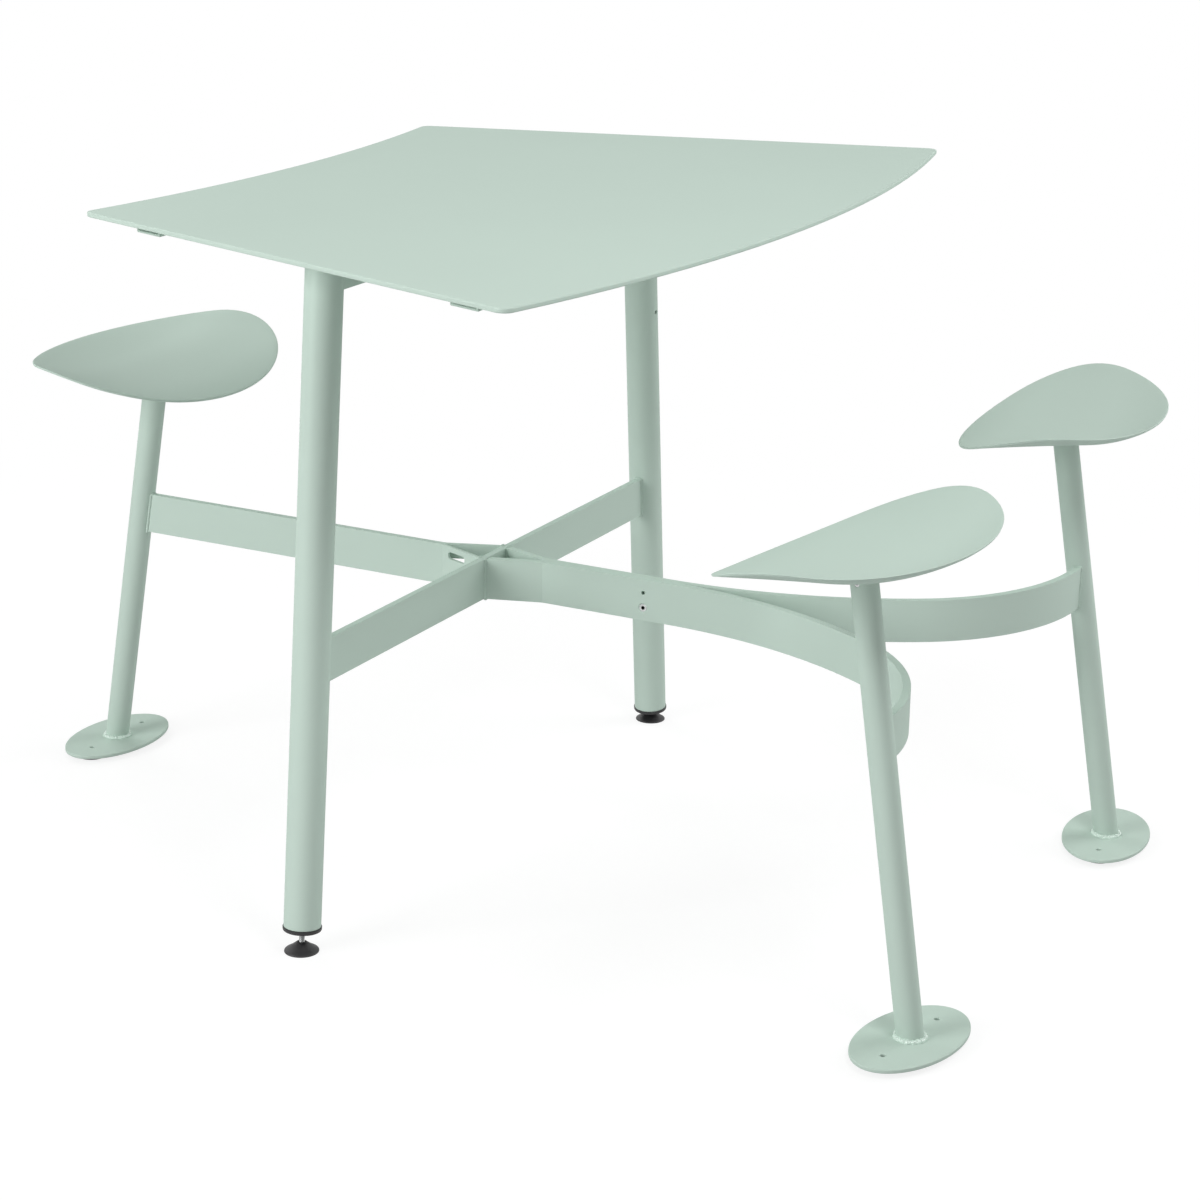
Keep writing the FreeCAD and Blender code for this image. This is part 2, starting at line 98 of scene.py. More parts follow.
def colour(name, description, default):
    return FloatVectorProperty(name=name, description=description, default=default, size=3, min=0, max=1,
                               subtype="COLOR")


def power(name, description, default):
    return FloatProperty(name=name, description=description, default=default, min=0, unit="POWER")


class FinishSettings(bpy.types.PropertyGroup):
    """Colours and surface of the paint, plastics and metals."""
    paint: colour("Powder Coat", "Colour of everything that is painted", (0.562, 0.68, 0.61))
    paint_roughness: share("Coat Roughness", "Roughness of the powder coat", 0.38)
    paint_flake: share("Coat Flake", "Share of metallic flake in the powder coat", 0.05)
    peel_size: length("Peel Size", "Distance between the dimples of the powder coat", 0.0016)
    peel_depth: length("Peel Depth", "Depth of the dimples of the powder coat", 0.00003)
    plastic: colour("Black Plastic", "Colour of the feet and floor glides", (0.012, 0.012, 0.013))
    zinc: colour("Zinc", "Colour of the plated steel", (0.56, 0.57, 0.57))
    stainless: colour("Stainless", "Colour of the bare screws", (0.68, 0.69, 0.69))
    bearing: colour("Bearing Plastic", "Colour of the bushes in the posts", (0.50, 0.58, 0.53))


class SeatSettings(bpy.types.PropertyGroup):
    """Shape of the seat pans."""
    thickness: length("Thickness", "Thickness of the pan's sheet", 0.0025)
    rim_round: length("Rim Rounding", "Rounding of both edges of the rim", 0.001)
    side_rise: length("Side Rise", "Height of the raised sides over the middle", 0.024)
    side_taper: length("Side Taper", "How much lower the sides are at the front than in the middle", 0.014)
    side_curl: length("Side Curl", "Extra lift close to the sides", 0.007)
    front_lift: length("Front Lift", "Rise from the middle to the front", 0.011)
    rear_lip: length("Rear Lip", "Height of the upturned rear", 0.017)
    front_roll: length("Front Roll", "Drop of the rolled front", 0.007)
    rear_lip_start: share("Lip Start", "Where the rear lip starts, from the middle to the rim", 0.42)
    front_roll_start: share("Roll Start", "Where the front roll starts, from the middle to the rim", 0.5)


class FrameSettings(bpy.types.PropertyGroup):
    """Edges and welds of the steel frame."""
    bar_round: length("Bar Edge", "Rounding of the flat bars' edges", 0.0012)
    plate_round: length("Plate Edge", "Rounding of the tubes' ends and the floor plates' edges", 0.0007)
    bead_radius: length("Bead Radius", "Radius of the weld beads round the tubes", 0.0036)
    seam_radius: length("Seam Radius", "Radius of the weld beads round the bars", 0.0018)
    bead_pitch: length("Bead Pitch", "Distance between the ripples of a weld", 0.0028)
    stitch: length("Stitch", "Length of the short welds under the sheet", 0.03)
    stitch_gap: length("Stitch Gap", "Distance between the short welds under the sheet", 0.11)


class FootSettings(bpy.types.PropertyGroup):
    """Levelling feet and floor glides."""
    flange_round: length("Flange Edge", "Rounding of the lower edge of the tube plugs", 0.0022)
    pad_rim: length("Pad Rim", "Height of the pad's straight rim", 0.0015)
    pad_neck: length("Pad Neck", "Radius of the pad's upper end", 0.005)
    pad_dish: length("Pad Dish", "How far the pad's cone is drawn in", 0.0005)
    pad_hollow: length("Pad Hollow", "Depth of the hollow under the pad", 0.0009)
    glide_round: length("Glide Edge", "Rounding of the glides' lower edge", 0.0015)
    stem_radius: length("Stem Radius", "Outer radius of the levelling stems", 0.003)
    thread_pitch: length("Thread Pitch", "Pitch of the levelling stems", 0.001)
    thread_depth: length("Thread Depth", "Depth of the stems' thread", 0.0005)


class ScrewSettings(bpy.types.PropertyGroup):
    """Screws of the arm clamp and the seat swivels."""
    clamp_shank: length("Clamp Shank", "Radius of the clamp screw's shank", 0.003)
    clamp_socket: length("Clamp Socket", "Width across flats of the clamp screw's socket", 0.004)
    lock_socket: length("Lock Socket", "Width across flats of the lock screws' sockets", 0.003)
    socket_depth: length("Socket Depth", "Depth of the sockets", 0.0028)
    edge_round: length("Screw Edge", "Rounding of the screws' outer edges", 0.0004)
    clamp_gap: length("Clamp Gap", "Open ring round the clamp screw's sunk head", 0.001)


class StageSettings(bpy.types.PropertyGroup):
    """Studio floor, light and camera."""
    floor: colour("Floor", "Colour of the floor", (0.66, 0.66, 0.66))
    shadow: share("Shadow", "How much of the floor's shading shows to the camera", 0.3)
    floor_level: share("Floor Level", "Brightness of the lit floor that counts as white", 0.53)
    shadow_reach: length("Shadow Reach", "Distance at which the floor fades to plain white", 1.9)
    ambient: FloatProperty(name="Ambient", description="Strength of the even light all round", default=0.23,
                           min=0)
    key: power("Key Light", "Power of the light from the front left", 68)
    top: power("Top Light", "Power of the light overhead", 12)
    side: power("Side Light", "Power of the light over the outer seats", 15)
    rim: power("Rim Light", "Power of the light from behind on the right", 48)
    back: power("Back Light", "Power of the light from behind on the left", 17)
    lens: FloatProperty(name="Lens", description="Focal length of the camera", default=88.92, min=1,
                        unit="CAMERA")
    camera_place: FloatVectorProperty(name="Camera Place", description="Where the camera stands", size=3,
                                      default=(1.4894, -2.7201, 1.2763), subtype="TRANSLATION",
                                      unit="LENGTH")
    camera_heading: FloatProperty(name="Camera Heading", description="Turn of the camera about the upright",
                                  default=math.radians(27.1234), subtype="ANGLE", unit="ROTATION")
    camera_pitch: FloatProperty(name="Camera Pitch", description="How far the camera looks down",
                                default=math.radians(18.054), subtype="ANGLE", unit="ROTATION")
    camera_roll: FloatProperty(name="Camera Roll", description="Turn of the camera about its view",
                               default=math.radians(0.965), subtype="ANGLE", unit="ROTATION")
    camera_shift: FloatVectorProperty(name="Camera Shift", description="Shift of the view, sideways and up",
                                      size=2, default=(-0.0109, 0.0075), precision=4)


SETTINGS = {
    "seat_table_finish": FinishSettings,
    "seat_table_seat": SeatSettings,
    "seat_table_frame": FrameSettings,
    "seat_table_foot": FootSettings,
    "seat_table_screw": ScrewSettings,
    "seat_table_stage": StageSettings,
}


# Materials

class Socket:
    """A number from a shader socket. Arithmetic on it adds Math nodes."""

    def __init__(self, nodes, output):
        self.nodes = nodes
        self.output = output

    def math(self, operation, left, right):
        return self.nodes.add("Math", {"operation": operation}, {0: left, 1: right})

    def __add__(self, other):
        return self.math("ADD", self, other)

    def __radd__(self, other):
        return self.math("ADD", other, self)

    def __sub__(self, other):
        return self.math("SUBTRACT", self, other)

    def __rsub__(self, other):
        return self.math("SUBTRACT", other, self)

    def __mul__(self, other):
        return self.math("MULTIPLY", self, other)

    def __rmul__(self, other):
        return self.math("MULTIPLY", other, self)


class Nodes:
    """Builds a node tree, one node at a time."""

    def __init__(self, tree):
        self.tree = tree
        tree.nodes.clear()

    def add(self, kind, settings=None, sockets=None, output=0):
        """Adds a node: its settings first, then its sockets' values or links. Gives one of its outputs."""
        node = self.tree.nodes.new("ShaderNode" + kind)
        for name, value in (settings or {}).items():
            setattr(node, name, value)
        for name, value in (sockets or {}).items():
            if isinstance(value, Socket):
                self.tree.links.new(value.output, node.inputs[name])
            else:
                node.inputs[name].default_value = value
        if not node.outputs:
            return None
        return Socket(self, node.outputs[output])

    def place(self, stretch=(1, 1, 1)):
        """Object coordinates, stretched along the axes."""
        coordinates = self.add("TexCoord", output="Object")
        return self.add("Mapping", None, {"Vector": coordinates, "Scale": stretch})

    def noise(self, place, size, detail=2):
        return self.add("TexNoise", None, {"Vector": place, "Scale": 1 / size, "Detail": detail})

    def blend(self, factor, first, second):
        """A colour between two others. A Mix node's colours are its inputs 6 and 7 and its output 2."""
        return self.add("Mix", {"data_type": "RGBA"}, {0: factor, 6: first, 7: second}, output=2)

    def relief(self, height, depth):
        return self.add("Bump", None, {"Height": height, "Distance": depth, "Strength": 1})

    def surface(self, **sockets):
        named = {name.replace("_", " "): value for name, value in sockets.items()}
        shader = self.add("BsdfPrincipled", None, named)
        self.add("OutputMaterial", None, {"Surface": shader})


def shaded(rgb, factor):
    """A colour made lighter or darker, with full opacity."""
    return (rgb[0] * factor, rgb[1] * factor, rgb[2] * factor, 1)


def powder_coat(nodes, finish):
    """Matt paint with a little metallic flake and fine dimples."""
    place = nodes.place()
    cloud = nodes.noise(place, size=0.22)
    peel = nodes.noise(place, finish.peel_size, detail=1)
    speck = nodes.noise(place, finish.peel_size / 4, detail=0)
    tint = nodes.blend(cloud, shaded(finish.paint, 0.985), shaded(finish.paint, 1.015))
    # Noise averages one half, so the roughness varies about its setting
    roughness = finish.paint_roughness - 0.06 + 0.08 * cloud + 0.04 * peel
    nodes.surface(Base_Color=tint, Metallic=finish.paint_flake, Roughness=roughness, Specular_IOR_Level=0,
                  Normal=nodes.relief(peel + 0.3 * speck, finish.peel_depth))


def weld_coat_with_painted_glints(nodes, finish):
    """Lumpy paint over a weld bead, lightened in patches as painted glints."""
    place = nodes.place()
    lump_and_painted_glint = nodes.noise(place, size=0.003, detail=2)
    pore = nodes.noise(place, size=0.0006, detail=1)
    # Painted highlight: the paint is lightened up to 1.4 times in the lumps to stand for glints
    tint = nodes.blend(lump_and_painted_glint, shaded(finish.paint, 1.05), shaded(finish.paint, 1.4))
    nodes.surface(Base_Color=tint, Roughness=0.1 + 0.12 * lump_and_painted_glint, Coat_Weight=0.5 * lump_and_painted_glint,
                  Normal=nodes.relief(lump_and_painted_glint + 0.2 * pore, depth=0.0008))


def moulded_plastic(nodes, finish):
    """Black plastic with a fine grain and dull scuffs."""
    place = nodes.place()
    grain = nodes.noise(place, size=0.0006, detail=2)
    scuff = nodes.noise(nodes.place((1, 1, 4)), size=0.006, detail=4)
    tint = nodes.blend(scuff, shaded(finish.plastic, 0.8), shaded(finish.plastic, 1.6))
    nodes.surface(Base_Color=tint, Roughness=0.38 + 0.25 * scuff, Normal=nodes.relief(grain, depth=0.00004))


def zinc_plate(nodes, finish):
    """Plated steel with a cloudy bloom."""
    place = nodes.place()
    bloom = nodes.noise(place, size=0.004, detail=3)
    grain = nodes.noise(place, size=0.0007, detail=2)
    tint = nodes.blend(bloom, shaded(finish.zinc, 0.86), shaded(finish.zinc, 1.1))
    nodes.surface(Base_Color=tint, Metallic=1, Roughness=0.26 + 0.2 * bloom,
                  Normal=nodes.relief(grain, depth=0.00001))


def bare_stainless(nodes, finish):
    """Bare steel with fine streaks."""
    streak = nodes.noise(nodes.place((1, 1, 14)), size=0.003, detail=3)
    tint = nodes.blend(streak, shaded(finish.stainless, 0.9), shaded(finish.stainless, 1.08))
    nodes.surface(Base_Color=tint, Metallic=1, Roughness=0.2 + 0.16 * streak,
                  Normal=nodes.relief(streak, depth=0.000008))


def bearing_plastic(nodes, finish):
    """Plain plastic with a fine grain."""
    grain = nodes.noise(nodes.place(), size=0.0009, detail=2)
    tint = nodes.blend(grain, shaded(finish.bearing, 0.95), shaded(finish.bearing, 1.04))
    nodes.surface(Base_Color=tint, Roughness=0.4 + 0.1 * grain, Normal=nodes.relief(grain, depth=0.00002))


FINISHES = {
    "mint_paint": powder_coat,
    "mint_weld": weld_coat_with_painted_glints,
    "black_plastic": moulded_plastic,
    "zinc_steel": zinc_plate,
    "stainless": bare_stainless,
    "bearing_plastic": bearing_plastic,
}


def finish_for(kind):
    """A finish by its name, made the first time it is needed."""
    name = kind + "_finish"
    if name not in bpy.data.materials:
        material = bpy.data.materials.new(name)
        material.use_nodes = True
        FINISHES[kind](Nodes(material.node_tree), bpy.context.scene.seat_table_finish)
    return bpy.data.materials[name]


# Places and shapes

def standing(joint, direction):
    """The frame of a leaning line: it starts at the joint, rises along Z and leans towards X."""
    axis = direction * Vector(joint["axis"]).normalized()
    lean = Vector((axis.x, axis.y, 0)).normalized()
    side = UP.cross(lean)
    turn = Matrix((side.cross(axis), side, axis)).transposed().to_4x4()
    return Matrix.Translation(joint["pos_m"]) @ turn


POSTS = {name: standing(JOINTS[name + "_seat_swivel"], 1) for name in SEATS}
LEG_LINES = {name: standing(JOINTS[name + "_stem_turn"], -1) for name in LEGS}


def span(node, line=Matrix.Identity(4)):
    """Lowest and highest corner of a node, measured along a leaning line."""
    to_line = line.inverted()
    points = [to_line @ vertex.co for vertex in NODES[node].data.vertices]
    return [Vector(pick(point[axis] for point in points) for axis in range(3)) for pick in (min, max)]


def tube_face(line, radius, height, towards):
    """Where a level ray that runs towards a tube's axis at one height meets the tube."""
    axis = line.col[2].xyz
    start = line.translation
    centre = start + axis * ((height - start.z) / axis.z)
    return centre - towards * radius / math.sqrt(1 - towards.dot(axis) ** 2)


def turned(profile, closed=True):
    """An outline of (radius, height, rounding) turned on a lathe. An open one leaves its ends unjoined."""
    shape = bmesh.new()
    verts = [shape.verts.new((radius, 0, height)) for radius, height, rounding in profile]
    pairs = list(zip(verts, verts[1:]))
    if closed:
        pairs.append((verts[-1], verts[0]))
    edges = [shape.edges.new(pair) for pair in pairs]
    bmesh.ops.spin(shape, geom=verts + edges, cent=(0, 0, 0), axis=UP, angle=2 * math.pi, steps=TURN_STEPS,
                   use_merge=True)
    bmesh.ops.remove_doubles(shape, verts=shape.verts, dist=MERGE_DISTANCE / 10)
    bmesh.ops.recalc_face_normals(shape, faces=shape.faces)
    for radius, height, rounding in profile:
        if rounding:
            round_edges(shape, ring(shape, radius, height), rounding)
    return shape


def ring(shape, radius, height):
    """The edges of a turned shape on one circle."""
    def on_circle(vert):
        return abs(vert.co.z - height) < MERGE_DISTANCE and abs(vert.co.xy.length - radius) < MERGE_DISTANCE
    return [edge for edge in shape.edges if all(on_circle(vert) for vert in edge.verts)]


def round_edges(shape, edges, offset):
    bmesh.ops.bevel(shape, geom=edges, offset=offset, offset_type="OFFSET", affect="EDGES",
                    segments=ROUND_SEGMENTS, profile=0.5, material=-1, clamp_overlap=True)


def hexagon(shape, flats, height):
    made = bmesh.ops.create_circle(shape, segments=6, radius=flats / 2 / math.cos(math.pi / 6),
                                   matrix=Matrix.Translation((0, 0, height)))
    return edges_among(made["verts"])


def edges_among(verts):
    chosen = set(verts)
    return [edge for edge in {edge for vert in verts for edge in vert.link_edges}
            if all(vert in chosen for vert in edge.verts)]


def cut_socket(shape, mouth, flats, depth):
    """Closes a round mouth in a screw's end with a hexagon socket that ends in a drill's point."""
    drill_point = depth / 5
    rim = hexagon(shape, flats, mouth[0].verts[0].co.z)
    bmesh.ops.bridge_loops(shape, edges=mouth + rim)
    walls = bmesh.ops.extrude_edge_only(shape, edges=rim)
    bottom = [vert for vert in walls["geom"] if isinstance(vert, bmesh.types.BMVert)]
    bmesh.ops.translate(shape, verts=bottom, vec=(0, 0, -depth))
    floor = bmesh.ops.contextual_create(shape, geom=edges_among(bottom))["faces"]
    point = bmesh.ops.poke(shape, faces=floor)["verts"]
    bmesh.ops.translate(shape, verts=point, vec=(0, 0, -drill_point))
    bmesh.ops.recalc_face_normals(shape, faces=shape.faces)


def screw(outline, flats, depth):
    """A screw with a hexagon socket. The outline starts at the socket's mouth and ends on the axis."""
    shape = turned(outline, closed=False)
    cut_socket(shape, ring(shape, *outline[0][:2]), flats, depth)
    return shape


def threaded_rod(radius, low, high, pitch, depth):
    """A rod with a pointed thread, cut level at both ends."""
    shape = bmesh.new()
    turns = math.ceil((high - low) / pitch) + 2
    line = []
    for number in range(2 * turns + 1):
        reach = radius - depth * (number % 2)
        line.append(shape.verts.new((reach, 0, low - 1.5 * pitch + number * pitch / 2)))
    edges = [shape.edges.new(pair) for pair in zip(line, line[1:])]
    steps = TURN_STEPS // 2
    bmesh.ops.spin(shape, geom=line + edges, cent=(0, 0, 0), axis=UP, dvec=(0, 0, pitch / steps),
                   angle=2 * math.pi, steps=steps)
    bmesh.ops.remove_doubles(shape, verts=shape.verts, dist=MERGE_DISTANCE)
    for height, direction in ((low, -1), (high, 1)):
        everything = shape.verts[:] + shape.edges[:] + shape.faces[:]
        bmesh.ops.bisect_plane(shape, geom=everything, plane_co=(0, 0, height), plane_no=(0, 0, direction),
                               clear_outer=True)
    bmesh.ops.holes_fill(shape, edges=[edge for edge in shape.edges if edge.is_boundary])
    bmesh.ops.recalc_face_normals(shape, faces=shape.faces)
    return shape


def join(shape, other):
    """Adds another shape to a shape."""
    mesh = bpy.data.meshes.new("joined")
    other.to_mesh(mesh)
    other.free()
    shape.from_mesh(mesh)
    bpy.data.meshes.remove(mesh)


def hull(places):
    """The outer corners of flat places, in order round them."""
    def half(row):
        run = []
        for place in row:
            while len(run) > 1 and turn(run[-2], run[-1], place) <= 0:
                run.pop()
            run.append(place)
        return run[:-1]

    def turn(first, second, third):
        return ((second[0] - first[0]) * (third[1] - first[1])
                - (second[1] - first[1]) * (third[0] - first[0]))

    row = sorted(places)
    return half(row) + half(row[::-1])


def tube_surface(line, radius, node):
    """Measures points against a tube: their gap and their place round and along it, seen from a node."""
    to_line = line.inverted()
    low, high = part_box(node)
    middle = to_line @ ((low + high) / 2)
    start = math.atan2(middle.y, middle.x)

    def measure(point):
        local = to_line @ point
        turn = (math.atan2(local.y, local.x) - start + math.pi) % (2 * math.pi) - math.pi
        return local.xy.length - radius, turn * radius, local.z
    return measure


def side_surface(place):
    """Measures points against an upright plane across X."""
    def measure(point):
        return point.x - place, point.y, point.z
    return measure


def touching(node, measure):
    """The outline of the patch where a node meets a surface."""
    met = {}
    for vertex in NODES[node].data.vertices:
        gap, across, along = measure(vertex.co)
        if abs(gap) < TOUCH:
            met[across, along] = vertex.co.copy()
    if len(met) < 3:
        raise RuntimeError(node + " does not meet the surface it is welded to")
    return [met[place] for place in hull(met)]


def bead(shape, points, radius, closed=True):
    """Adds a rippled weld run through a line of points to a shape."""
    pitch = bpy.context.scene.seat_table_frame.bead_pitch
    stops = even_steps(points, pitch / len(RIPPLE), closed)
    run = bmesh.new()
    loops = []
    for number, stop in enumerate(stops):
        before = stops[number - 1] if number or closed else stop
        after = stops[(number + 1) % len(stops)] if closed or number + 1 < len(stops) else stop
        turn = (after - before).to_track_quat("Z", "Y").to_matrix().to_4x4()
        end = not closed and number in (0, len(stops) - 1)
        swell = 1 + SWELLING * math.sin(0.9 * number) * math.sin(0.37 * number + 1)
        size = radius * (BEAD_END if end else RIPPLE[number % len(RIPPLE)] * swell)
        made = bmesh.ops.create_circle(run, cap_ends=end, segments=BEAD_SIDES, radius=size,
                                       matrix=Matrix.Translation(stop) @ turn)
        loops.append(edges_among(made["verts"]))
    pairs = list(zip(loops, loops[1:]))
    if closed:
        pairs.append((loops[-1], loops[0]))
    for first, second in pairs:
        bmesh.ops.bridge_loops(run, edges=first + second)
    bmesh.ops.recalc_face_normals(run, faces=run.faces)
    join(shape, run)


def even_steps(points, step, closed):
    """Points at even distances along a line of points."""
    line = points + points[:1] if closed else points
    lengths = [(after - before).length for before, after in zip(line, line[1:])]
    count = max(3, round(sum(lengths) / step))
    stops = []
    leg, passed = 0, 0
    for number in range(count if closed else count + 1):
        target = sum(lengths) * number / count
        while leg < len(lengths) - 1 and passed + lengths[leg] < target:
            passed += lengths[leg]
            leg += 1
        stops.append(line[leg].lerp(line[leg + 1], (target - passed) / lengths[leg]))
    return stops


def make_piece(name, shape, body, slot, replaced=(), finish=None):
    """Turns a shape into a piece that rides on a body and stands for CAD nodes."""
    mesh = bpy.data.meshes.new(name)
    shape.to_mesh(mesh)
    shape.free()
    mesh.shade_smooth()
    mesh.set_sharp_from_angle(angle=SHARP_ANGLE)
    mesh.materials.append(finish_for(finish or slot))
    piece = bpy.data.objects.new(name, mesh)
    bpy.context.scene.collection.objects.link(piece)
    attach(piece, body)
    if replaced:
        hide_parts(*replaced)
    return piece


def keep_nodes(names, slot):
    """Gives CAD nodes that stay in view their finish."""
    for name in names:
        NODES[name].material_slots[0].material = finish_for(slot)


def soften(names, width):
    """Rounds the sharp edges of CAD nodes that stay in view."""
    for name in names:
        node = NODES[name]
        facets = node.modifiers.new("Join facets", "WELD")
        facets.merge_threshold = MERGE_DISTANCE
        flat = node.modifiers.new("Merge flats", "DECIMATE")
        flat.decimate_type = "DISSOLVE"
        flat.angle_limit = FLAT_ANGLE
        edge = node.modifiers.new("Round edges", "BEVEL")
        edge.width = width
        edge.segments = ROUND_SEGMENTS - 1
        edge.limit_method = "ANGLE"
        edge.angle_limit = SHARP_ANGLE
        even = node.modifiers.new("Even shading", "WEIGHTED_NORMAL")
        even.keep_sharp = True


# Operators

class SEATTABLE_OT_seat_pans(bpy.types.Operator):
    """Make the three dished seat pans"""
    bl_idname = "seat_table.seat_pans"
    bl_label = "Seat Pans"

    RINGS = 22
    STEPS = 96

    def height(self, front, side, seat):
        """Height of the pan over its middle, with places as shares of its half depth and half width."""
        lip = max(0, (-front - seat.rear_lip_start) / (1 - seat.rear_lip_start)) ** 2
        roll = max(0, (front - seat.front_roll_start) / (1 - seat.front_roll_start)) ** 2
        dish = side ** 2 * (seat.side_rise - seat.side_taper * front) + seat.side_curl * side ** 4
        return dish + seat.front_lift * front + seat.rear_lip * lip - seat.front_roll * roll

    def pan(self, half_depth, half_width, seat):
        shape = bmesh.new()
        spoke = [shape.verts.new((number / self.RINGS, 0, 0)) for number in range(self.RINGS + 1)]
        edges = [shape.edges.new(pair) for pair in zip(spoke, spoke[1:])]
        bmesh.ops.spin(shape, geom=spoke + edges, cent=(0, 0, 0), axis=UP, angle=2 * math.pi,
                       steps=self.STEPS, use_merge=True)
        bmesh.ops.remove_doubles(shape, verts=shape.verts, dist=MERGE_DISTANCE)
        for vert in shape.verts:
            front, side = vert.co.x, vert.co.y
            vert.co = Vector((front * half_depth, side * half_width, self.height(front, side, seat)))
        bmesh.ops.recalc_face_normals(shape, faces=shape.faces)
        if sum(face.normal.z for face in shape.faces) < 0:
            bmesh.ops.reverse_faces(shape, faces=shape.faces)
        bmesh.ops.solidify(shape, geom=shape.faces[:], thickness=seat.thickness)
        for vert in shape.verts:
            reach = math.hypot(vert.co.x / half_depth, vert.co.y / half_width)
            if reach > 1:
                vert.co.xy /= reach
        rims = [edge for edge in shape.edges if edge.calc_face_angle(0) > SHARP_ANGLE]
        round_edges(shape, rims, seat.rim_round)
        return shape

    def execute(self, context):
        seat = context.scene.seat_table_seat
        for name, line in POSTS.items():
            half = span(name + "_seat_pan", line)[1]
            shape = self.pan(half.x, half.y, seat)
            bmesh.ops.transform(shape, matrix=line, verts=shape.verts)
            make_piece(name + "_pan", shape, name + "_seat", "mint_paint", [name + "_seat_pan"])
        return {"FINISHED"}


class SEATTABLE_OT_table_top(bpy.types.Operator):
    """Finish the sheet and what is welded and bolted under it"""
    bl_idname = "seat_table.table_top"
    bl_label = "Table Top"

    def execute(self, context):
        frame_settings = context.scene.seat_table_frame
        keep_nodes(["table_top"], "mint_paint")
        under = ["inner_top_stiffener", "outer_top_stiffener", "front_leg_cap_plate", "back_leg_cap_plate"]
        keep_nodes(under, "mint_paint")
        soften(under, frame_settings.bar_round)
        fixings = ["top_studs", "top_nuts"]
        keep_nodes(fixings, "zinc_steel")
        soften(fixings, context.scene.seat_table_screw.edge_round)
        return {"FINISHED"}


class SEATTABLE_OT_frame(bpy.types.Operator):
    """Finish the tubes, flat bars and floor plates"""
    bl_idname = "seat_table.frame"
    bl_label = "Frame"

    def execute(self, context):
        settings = context.scene.seat_table_frame
        bars = ["leg_stretcher", "top_beam", *PLATES, *ARMS]
        tubes = [name + "_tube" for name in LEGS] + [name + "_post" for name in SEATS]
        plates = [name + "_floor_plate" for name in SEATS]
        keep_nodes(bars + tubes + plates, "mint_paint")
        soften(bars, settings.bar_round)
        soften(tubes + plates, settings.plate_round)
        return {"FINISHED"}


class SEATTABLE_OT_swivels(bpy.types.Operator):
    """Finish the seat hubs, spindles and bushes and make the lock screws"""
    bl_idname = "seat_table.swivels"
    bl_label = "Seat Swivels"

    def lock_screw(self, name, line, settings):
        low, high = span(name, line)
        radius = high.x
        depth = high.y - low.y
        outwards = 1 if high.y > -low.y else -1
        shape = screw([
            (settings.lock_socket * SOCKET_MOUTH, 0, 0),
            (radius - settings.edge_round, 0, 0),
            (radius, -settings.edge_round, 0),
            (radius, -depth, 0),
            (0, -depth, 0),
        ], settings.lock_socket, settings.socket_depth)
        place = Matrix.Translation((0, max(high.y, -low.y) * outwards, (low.z + high.z) / 2))
        turn = Matrix.Rotation(-outwards * math.pi / 2, 4, "X")
        bmesh.ops.transform(shape, matrix=line @ place @ turn, verts=shape.verts)
        return shape

    def execute(self, context):
        settings = context.scene.seat_table_screw
        keep_nodes([name + "_seat_hub" for name in SEATS], "mint_paint")
        keep_nodes([name + "_seat_spindle" for name in SEATS], "zinc_steel")
        keep_nodes([name + "_upper_bush" for name in SEATS], "bearing_plastic")
        keep_nodes([name + "_lower_bush" for name in SEATS], "bearing_plastic")
        for name, line in POSTS.items():
            node = name + "_lock_screw"
            shape = self.lock_screw(node, line, settings)
            make_piece(name + "_set_screw", shape, "frame", "stainless", [node])
        return {"FINISHED"}


